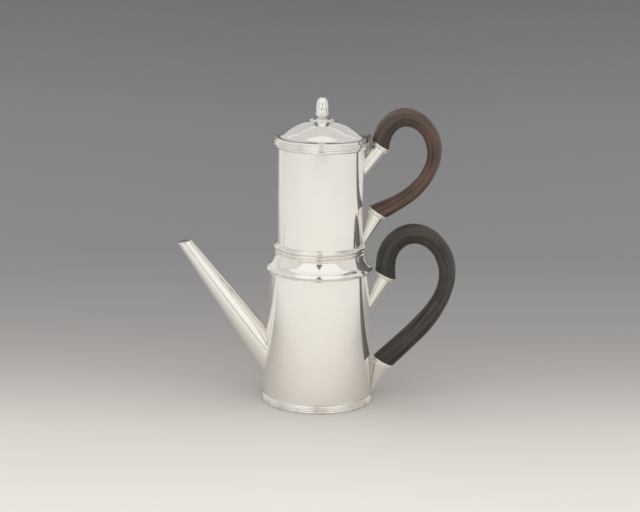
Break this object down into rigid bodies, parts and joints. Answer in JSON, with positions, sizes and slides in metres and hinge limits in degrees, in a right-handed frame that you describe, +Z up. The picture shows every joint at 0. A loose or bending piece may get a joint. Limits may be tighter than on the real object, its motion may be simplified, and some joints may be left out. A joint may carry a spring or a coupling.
{
  "type": "two-tier drip coffee pot",
  "caption": "Silver drip coffee pot: tapered pot with a long straight spout, lift-off filter drum with a hinged domed lid, and bent wooden handles in conical sockets.",
  "frame": {"origin": "centre of the foot, on the surface that the pot stands on", "axes": "+Z up along the axis of the pot, +X towards the handles, -X towards the spout, -Y towards the viewer"},
  "size_m": [0.2406, 0.0974, 0.2651],
  "materials": {
    "silver": "polished silver with fine wear",
    "brown_wood": "oiled, worn",
    "black_wood": "ebonised, worn"
  },
  "bodies": {
    "pot": {"foot_ring": "silver", "pot_bottom": "silver", "pot_body": "silver", "collar": "silver", "mouth_ring": "silver", "spout": "silver", "pot_handle_top_socket": "silver", "pot_handle_top_flange": "silver", "pot_handle_top_beads": "silver", "pot_handle_low_socket": "silver", "pot_handle_low_flange": "silver", "pot_handle_low_beads": "silver", "pot_handle_grip": "black_wood", "pot_handle_pins": "silver"},
    "drum": {"drum_wall": "silver", "drum_flange": "silver", "drum_plug": "silver", "filter_plate": "silver", "drum_rim": "silver", "drum_handle_top_socket": "silver", "drum_handle_top_flange": "silver", "drum_handle_top_beads": "silver", "drum_handle_low_socket": "silver", "drum_handle_low_flange": "silver", "drum_handle_low_beads": "silver", "drum_handle_grip": "brown_wood", "drum_handle_pins": "silver", "hinge_fixed_leaves": "silver", "hinge_pin": "silver"},
    "spreader": {"spreader_plate": "silver", "spreader_knob": "silver"},
    "lid": {"lid_shell": "silver", "lid_bezel": "silver", "lid_knuckle": "silver", "finial_rosette": "silver", "finial_cup": "silver", "finial_nut": "silver", "finial_stud": "silver", "finial_stud_nut": "silver"}
  },
  "joints": [
    {"name": "drum_lift", "type": "slide", "parent": "pot", "child": "drum", "axis": [0, 0, 1], "range_m": [0, 0.1]},
    {"name": "spreader_lift", "type": "slide", "parent": "drum", "child": "spreader", "axis": [0, 0, 1], "range_m": [0, 0.07]},
    {"name": "lid_hinge", "type": "hinge", "parent": "drum", "child": "lid", "pos_m": [0.0407, 0, 0.2314], "axis": [0, 1, 0], "range_deg": [0, 80]}
  ]
}
